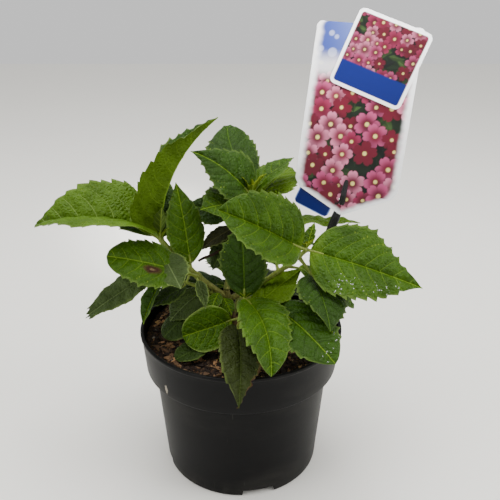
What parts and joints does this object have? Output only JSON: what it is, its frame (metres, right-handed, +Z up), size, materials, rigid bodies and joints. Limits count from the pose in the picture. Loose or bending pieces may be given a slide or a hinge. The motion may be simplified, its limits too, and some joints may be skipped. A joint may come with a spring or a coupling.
{
  "type": "potted hydrangea shrub",
  "caption": "Young leafy hydrangea shrub in a round nursery pot of compost, with a picture label on a stake beside its stems.",
  "frame": {"origin": "middle of the pot's flat underside", "axes": "+Z up, -Y towards the front, where the label's picture faces; +X to the right"},
  "size_m": [0.3049, 0.21, 0.3721],
  "materials": {
    "pot_plastic": "satin charcoal polypropylene",
    "compost": "moist dark peat with bark fibres",
    "green_wood": "soft green young wood",
    "leaf": "fresh serrated leaf, slightly glossy",
    "shaded_leaf": "older serrated leaf, dull dark green",
    "stake_plastic": "black moulded plastic",
    "card_print": "printed plastic card, pink blossom fading to white",
    "tag_print": "printed plastic tag with a blue band",
    "tab_print": "plain blue plastic"
  },
  "bodies": {
    "root": {"pot": "pot_plastic", "compost": "compost", "trunk": "green_wood", "bough_left": "green_wood", "bough_right": "green_wood", "bough_back": "green_wood", "bough_front": "green_wood", "leaves_left": "leaf", "leaves_right": "leaf", "leaves_back": "leaf", "leaves_front": "leaf", "leaves_low": "shaded_leaf", "leaves_rear": "shaded_leaf", "label_stake": "stake_plastic", "label_card": "card_print", "label_tag": "tag_print", "label_tab": "tab_print"}
  },
  "joints": []
}
